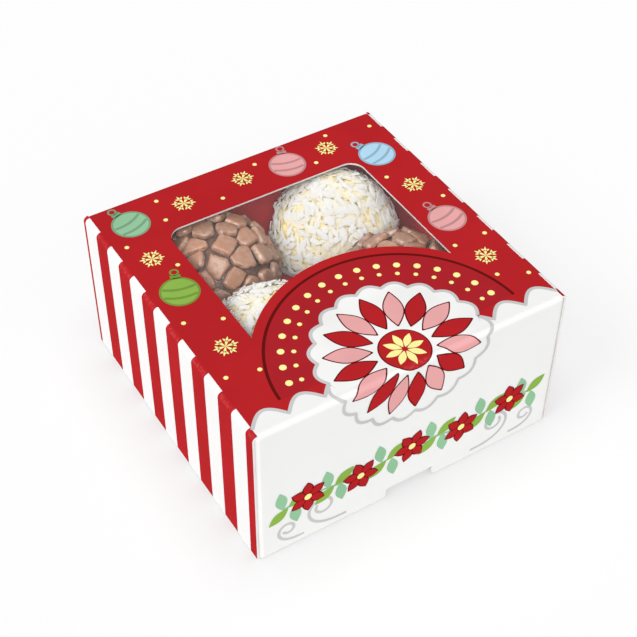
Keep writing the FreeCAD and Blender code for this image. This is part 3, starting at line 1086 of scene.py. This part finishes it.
def side_nearness(count, least, most, angles, sharpness, draw):
    """Nearness of the sides of count loose chips, raised to sharpness. A chip has two pairs of sides, each
    pair with its own distance and each side turned a little, and half the chips have one corner cut."""
    halves = draw.uniform(least, most, (count, 2))
    distance = np.tile(halves, 2) * draw.uniform(0.85, 1.15, (count, 4))
    cut = np.linalg.norm(halves, axis=1) * draw.uniform(0.72, 0.86, count)
    cut[draw.uniform(0, 1, count) < 0.5] = 2 * most
    distance = np.column_stack([distance, cut])
    bearing = math.pi / 2 * np.array((0, 1, 2, 3, 0.5)) + draw.uniform(-0.24, 0.24, (count, 5))
    bearing += draw.uniform(0, 2 * math.pi, (count, 1))
    facing = np.maximum(np.cos(angles - bearing[:, :, None]), 0)
    return ((facing / distance[:, :, None]) ** sharpness).sum(axis=1)


def plate_faces(count, rings, cols):
    """Faces of count closed plates: each has a top pole, rings of points from its top round its rim to
    its underside, and a bottom pole."""
    quads = 1 + grid_quads(rings, cols, closed=True)
    top = fan(0, 1, cols)
    bottom = fan(1 + rings * cols, 1 + (rings - 1) * cols, cols)[:, ::-1]
    stride = 2 + rings * cols
    return [copies(block, count, stride) for block in (quads, top, bottom)]


def plates(frames, middle, base, reach, angles, shares, heights, bend):
    """Points of closed plates on a ball: at each angle a share of the reach sideways, and outward the
    height, less bend times the square of the sideways distance, from the plate's base point. Heights is
    one row of ring heights for each plate, with the poles' heights first and last."""
    across, along, outward = frames
    direction = np.cos(angles)[None, :, None] * across[:, None]
    direction = direction + np.sin(angles)[None, :, None] * along[:, None]
    sideways = reach[:, None, :] * shares[None, :, None]
    rise = heights[:, 1:-1, None] - bend[:, None, None] * sideways ** 2
    rings = sideways[..., None] * direction[:, None] + rise[..., None] * outward[:, None, None]
    rings = rings.reshape(len(outward), -1, 3)
    top = heights[:, 0, None, None] * outward[:, None]
    bottom = heights[:, -1, None, None] * outward[:, None]
    return middle + base[:, None] + np.concatenate([top, rings, bottom], axis=1)


def tilted(frames, lean, draw):
    """Frames leaned by the angles given, each towards its own side."""
    across, along, outward = frames
    bearing = draw.uniform(0, 2 * math.pi, len(outward))
    towards = np.cos(bearing)[:, None] * across + np.sin(bearing)[:, None] * along
    new_outward = np.cos(lean)[:, None] * outward + np.sin(lean)[:, None] * towards
    new_across = np.cross(along, new_outward)
    new_across /= np.linalg.norm(new_across, axis=1, keepdims=True)
    return new_across, np.cross(new_outward, new_across), new_outward


def kept_in(points, place, flat, clearance):
    """Plates moved down where they would pass the film, and points held on their side of the flat and
    inside the tray, as what touches these is pressed."""
    above = points[..., 2].max(axis=1) - (FILM_LOW[2] - clearance)
    points[..., 2] -= np.maximum(above, 0)[:, None]
    wall = TRAY_HIGH[1] - BOARD - clearance
    low, high = (flat, wall) if place.startswith("back") else (-wall, flat)
    points[..., 1] = np.clip(points[..., 1], low, high)
    return points.reshape(-1, 3)


def chip_coat(place, seed):
    """Flat chips with round rims, one in each cell of the core above the holder. A chip's reach is the
    summed nearness of its own sides and of its cell's borders, raised to minus one over sharpness, with a
    slow wave on it. Each chip leans, so its raised edge stands over its neighbour's."""
    settings = sweet_settings()
    middle, radius, flat = core_ball(place)
    draw = np.random.default_rng(seed)
    frames = spread(settings.chips, draw, shift=0.34)
    angles = even_angles(40)
    sharpness, ripple, rim_start = 16.0, 0.014, 0.8
    nearness = cell_nearness(frames, radius, settings.chip_gap, angles, sharpness)
    nearness += side_nearness(
        settings.chips, settings.chip_least, settings.chip_most, angles, sharpness, draw
    )
    orders = np.array((3, 4, 6))[:, None]
    waves = np.cos(orders * angles + draw.uniform(0, 2 * math.pi, (settings.chips, 3, 1))).sum(axis=1)
    reach = nearness ** (-1 / sharpness) * (1 + ripple * waves)
    shown = middle[2] + radius * frames[2][:, 2] - reach.max(axis=1) > HOLDER_TOP
    frames = tuple(axis[shown] for axis in frames)
    reach = reach[shown]
    count = len(reach)
    thickness = settings.chip_thickness * draw.uniform(0.85, 1.1, count)
    heights = thickness[:, None] * CHIP_HEIGHT_SHARES
    sink = settings.chip_thickness * draw.uniform(0.0, 0.3, count)
    base = (radius - sink)[:, None] * frames[2]
    bend = draw.uniform(0.0, 0.4, count) / (2 * radius)
    leaning = tilted(frames, draw.uniform(0.1, 0.34, count), draw)
    points = plates(leaning, middle, base, reach, angles, CHIP_RING_SHARES, heights, bend)
    tone = np.repeat(draw.uniform(0, 1, count), points.shape[1])
    # Rim share: where the chocolate's pale bloom and painted sheen are strongest
    rim_row = np.repeat(np.clip((CHIP_RING_SHARES - rim_start) / (1 - rim_start), 0, 1), len(angles))
    rim = np.tile(np.concatenate([[0.0], rim_row, [0.0]]), count)
    points = kept_in(points, place, flat, 0.05 * settings.chip_thickness)
    faces = plate_faces(count, len(CHIP_RING_SHARES), len(angles))
    return points, faces, {"tone": tone, "rim": rim}


def flake_coat(place, seed):
    """Small curved flakes that lie every way over the core above the holder, some standing out. A flake's
    outline is a superellipse of its own bluntness, with an uneven reach. Its depth is one near the core and
    falls to nought near the top of the coat."""
    settings = sweet_settings()
    middle, radius, flat = core_ball(place)
    draw = np.random.default_rng(seed)
    frames = spread(settings.flakes, draw, shift=0.4)
    shown = middle[2] + radius * frames[2][:, 2] - settings.flake_length / 2 > HOLDER_TOP
    frames = tuple(axis[shown] for axis in frames)
    count = len(frames[0])
    stand = settings.flake_stand * draw.uniform(-0.1, 1.0, count)
    base = (radius + stand)[:, None] * frames[2]
    turn = draw.uniform(0, 2 * math.pi, count)[:, None]
    across = np.cos(turn) * frames[0] + np.sin(turn) * frames[1]
    lean = 0.65 * draw.uniform(0, 1, count) ** 3
    leaning = tilted((across, np.cross(frames[2], across), frames[2]), lean, draw)
    angles = even_angles(10)
    half_long = 0.5 * settings.flake_length * draw.uniform(0.6, 1.45, count)
    half_wide = 0.5 * settings.flake_width * draw.uniform(0.65, 1.4, count)
    blunt = draw.uniform(3.0, 10.0, count)[:, None]
    nearness = (np.abs(np.cos(angles)) / half_long[:, None]) ** blunt
    nearness += (np.abs(np.sin(angles)) / half_wide[:, None]) ** blunt
    reach = nearness ** (-1 / blunt) * draw.uniform(0.78, 1.12, (count, len(angles)))
    thickness = settings.flake_thickness * draw.uniform(0.7, 1.5, count)
    heights = thickness[:, None] * FLAKE_HEIGHT_SHARES
    bend = draw.uniform(-0.4, 1.6, count) / (2 * radius)
    points = plates(leaning, middle, base, reach, angles, FLAKE_RING_SHARES, heights, bend)
    tone = np.repeat(draw.uniform(0, 1, count), points.shape[1])
    # Depth, one near the core: where the flakes get the fudge's brighter yellow, partly as painted fill light
    away = np.linalg.norm(points - middle, axis=2) - radius
    fall = 0.65 * settings.flake_stand
    depth = np.clip(1.6 - away / fall, 0, 1).ravel()
    points = kept_in(points, place, flat, 0.1 * settings.flake_thickness)
    faces = plate_faces(count, len(FLAKE_RING_SHARES), len(angles))
    return points, faces, {"tone": tone, "depth": depth}


def soften(mesh, middle, share):
    """Turn the shading normals by that share from the surface's own to straight out from the middle."""
    own, points = np.empty((2, 3 * len(mesh.vertices)), dtype=np.float32)
    mesh.vertex_normals.foreach_get("vector", own)
    mesh.vertices.foreach_get("co", points)
    outward = points.reshape(-1, 3) - middle
    outward /= np.linalg.norm(outward, axis=1, keepdims=True)
    turned = (1 - share) * own.reshape(-1, 3) + share * outward
    turned /= np.linalg.norm(turned, axis=1, keepdims=True)
    mesh.normals_split_custom_set_from_vertices(turned.tolist())


class SWEETBOX_OT_sweets_dark(Operator):
    """Coat the dark sweets with chips"""

    bl_idname = "sweet_box.sweets_dark"
    bl_label = "Dark sweets"

    def execute(self, context):
        chocolate = milk_chocolate()
        fudge = dark_fudge()
        for seed, place in enumerate(DARK_SWEETS, start=DARK_SEED):
            finish_node("sweet_core_" + place, fudge)
            points, faces, attributes = chip_coat(place, seed)
            piece = add_piece(
                "chips_" + place, points, faces, chocolate, "tray", attributes
            )
            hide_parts("sweet_chips_" + place)
        return {"FINISHED"}


class SWEETBOX_OT_sweets_pale(Operator):
    """Coat the pale sweets with flakes"""

    bl_idname = "sweet_box.sweets_pale"
    bl_label = "Pale sweets"

    def execute(self, context):
        flakes = white_flakes()
        fudge = pale_fudge()
        for seed, place in enumerate(PALE_SWEETS, start=PALE_SEED):
            finish_node("sweet_core_" + place, fudge)
            points, faces, attributes = flake_coat(place, seed)
            piece = add_piece(
                "flakes_" + place, points, faces, flakes, "tray", attributes
            )
            soften(piece.data, core_ball(place)[0], sweet_settings().flake_softness)
            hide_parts("sweet_shavings_" + place)
        return {"FINISHED"}


# Stage


def aimed(place, target):
    """Turn and place of a camera or lamp that looks from one point to another."""
    turn = (target - place).to_track_quat("-Z", "Y")
    return Matrix.Translation(place) @ turn.to_matrix().to_4x4()


class SWEETBOX_OT_stage(Operator):
    """Set up the camera, the floor and the light"""

    bl_idname = "sweet_box.stage"
    bl_label = "Stage"

    def execute(self, context):
        scene = context.scene
        stage = stage_settings()
        scene.view_settings.view_transform = "Standard"
        self.add_camera(scene)
        self.add_floor(scene)
        self.add_lamp(scene, "key", stage.key, stage.key_place)
        self.add_lamp(scene, "fill", stage.fill, stage.fill_place)
        self.set_sky(scene)
        return {"FINISHED"}

    def add_camera(self, scene):
        """Camera aimed at its target, then turned about its line of sight."""
        stage = stage_settings()
        data = bpy.data.cameras.new("camera")
        data.sensor_fit = "HORIZONTAL"
        data.angle = stage.camera_view
        data.clip_start = 0.01
        camera = bpy.data.objects.new("camera", data)
        aim = aimed(Vector(stage.camera_place), Vector(stage.camera_target))
        camera.matrix_world = aim @ Matrix.Rotation(stage.camera_roll, 4, "Z")
        scene.collection.objects.link(camera)
        scene.camera = camera

    def add_floor(self, scene):
        """Flat square grid under the box, at the height of the tray's underside."""
        stage = stage_settings()
        count = 9
        steps = np.linspace(-stage.floor_size / 2, stage.floor_size / 2, count)
        x, y = np.meshgrid(steps, steps)
        points = np.column_stack([x.ravel(), y.ravel(), np.full(x.size, CAD_BOX[0][2])])
        mesh = bpy.data.meshes.new("floor")
        mesh.from_pydata(points.tolist(), [], grid_quads(count, count)[:, ::-1].tolist())
        mesh.materials.append(self.floor_material())
        floor = bpy.data.objects.new("floor", mesh)
        scene.collection.objects.link(floor)

    def floor_material(self):
        """Pale matt floor, shown with part of its light and shade, and with white that dims near the box as a
        painted contact shadow.
        """
        stage = stage_settings()
        material = bpy.data.materials.new("floor")
        material.use_nodes = True
        nodes, links = material.node_tree.nodes, material.node_tree.links
        nodes.clear()
        matt, seen = nodes.new("ShaderNodeBsdfDiffuse"), nodes.new("ShaderNodeBsdfDiffuse")
        matt.inputs["Color"].default_value = (*stage.floor, 1.0)
        seen.inputs["Color"].default_value = (*stage.floor_seen, 1.0)
        # Painted contact shadow: the floor's white is dimmed where ambient occlusion finds the box close
        openness = nodes.new("ShaderNodeAmbientOcclusion")
        openness.inputs["Distance"].default_value = stage.contact_reach
        painted_contact_shade = nodes.new("ShaderNodeMapRange")
        painted_contact_shade.inputs["To Min"].default_value = (1 - stage.contact) * stage.floor_glow
        painted_contact_shade.inputs["To Max"].default_value = stage.floor_glow
        links.new(openness.outputs["AO"], painted_contact_shade.inputs["Value"])
        glow = nodes.new("ShaderNodeEmission")
        links.new(painted_contact_shade.outputs["Result"], glow.inputs["Strength"])
        both = nodes.new("ShaderNodeAddShader")
        links.new(seen.outputs[0], both.inputs[0])
        links.new(glow.outputs[0], both.inputs[1])
        output = nodes.new("ShaderNodeOutputMaterial")
        links.new(self.by_ray(nodes, links, matt, both), output.inputs["Surface"])
        return material

    def add_lamp(self, scene, name, strength, place):
        """Lamp that lights the whole floor evenly from the side of that place, with soft shadows."""
        data = bpy.data.lights.new(name, "SUN")
        data.angle = stage_settings().lamp_spread
        data.energy = strength
        lamp = bpy.data.objects.new(name, data)
        lamp.matrix_world = aimed(Vector(place), Vector((0, 0, 0)))
        scene.collection.objects.link(lamp)

    def set_sky(self, scene):
        """Even light all round, which shows as white behind the object and in its gloss."""
        world = bpy.data.worlds.new("studio")
        world.use_nodes = True
        scene.world = world
        nodes, links = world.node_tree.nodes, world.node_tree.links
        light, white = nodes["Background"], nodes.new("ShaderNodeBackground")
        for background in (light, white):
            background.inputs["Color"].default_value = (1.0, 1.0, 1.0, 1.0)
        light.inputs["Strength"].default_value = stage_settings().sky
        links.new(self.by_ray(nodes, links, light, white), nodes["World Output"].inputs["Surface"])

    def by_ray(self, nodes, links, lighting, shown):
        """The lighting shader, or the shown one for what is seen directly, in gloss or through film."""
        path = nodes.new("ShaderNodeLightPath")
        seen = path.outputs["Is Camera Ray"]
        for ray in ("Is Glossy Ray", "Is Transmission Ray"):
            either = nodes.new("ShaderNodeMath")
            either.operation = "MAXIMUM"
            links.new(seen, either.inputs[0])
            links.new(path.outputs[ray], either.inputs[1])
            seen = either.outputs[0]
        choice = nodes.new("ShaderNodeMixShader")
        links.new(seen, choice.inputs["Fac"])
        links.new(lighting.outputs[0], choice.inputs[1])
        links.new(shown.outputs[0], choice.inputs[2])
        return choice.outputs[0]


class SWEETBOX_PT_panel(Panel):
    """List of the pieces that can be made"""

    bl_idname = "SWEETBOX_PT_panel"
    bl_label = "Sweet box"
    bl_space_type = "VIEW_3D"
    bl_region_type = "UI"
    bl_category = "Sweet box"

    def draw(self, context):
        for operator in OPERATORS:
            self.layout.operator(operator.bl_idname)


OPERATORS = (
    SWEETBOX_OT_card,
    SWEETBOX_OT_ground,
    SWEETBOX_OT_stripes,
    SWEETBOX_OT_rosette,
    SWEETBOX_OT_baubles,
    SWEETBOX_OT_snowflakes,
    SWEETBOX_OT_garland,
    SWEETBOX_OT_sweets_dark,
    SWEETBOX_OT_sweets_pale,
    SWEETBOX_OT_stage,
)
SETTINGS = {
    "sweet_box_card": SweetBoxCard,
    "sweet_box_print": SweetBoxPrint,
    "sweet_box_sweets": SweetBoxSweets,
    "sweet_box_stage": SweetBoxStage,
}


def register():
    for settings, group in SETTINGS.items():
        bpy.utils.register_class(group)
        setattr(bpy.types.Scene, settings, PointerProperty(type=group))
    for item in (*OPERATORS, SWEETBOX_PT_panel):
        bpy.utils.register_class(item)


def unregister():
    for item in reversed((*OPERATORS, SWEETBOX_PT_panel)):
        bpy.utils.unregister_class(item)
    for settings, group in SETTINGS.items():
        delattr(bpy.types.Scene, settings)
        bpy.utils.unregister_class(group)


def main():
    """Make the looks in order."""
    register()
    bpy.ops.sweet_box.card()
    bpy.ops.sweet_box.ground()
    bpy.ops.sweet_box.stripes()
    bpy.ops.sweet_box.rosette()
    bpy.ops.sweet_box.baubles()
    bpy.ops.sweet_box.snowflakes()
    bpy.ops.sweet_box.garland()
    bpy.ops.sweet_box.sweets_dark()
    bpy.ops.sweet_box.sweets_pale()
    bpy.ops.sweet_box.stage()


if __name__ == "__main__":
    main()
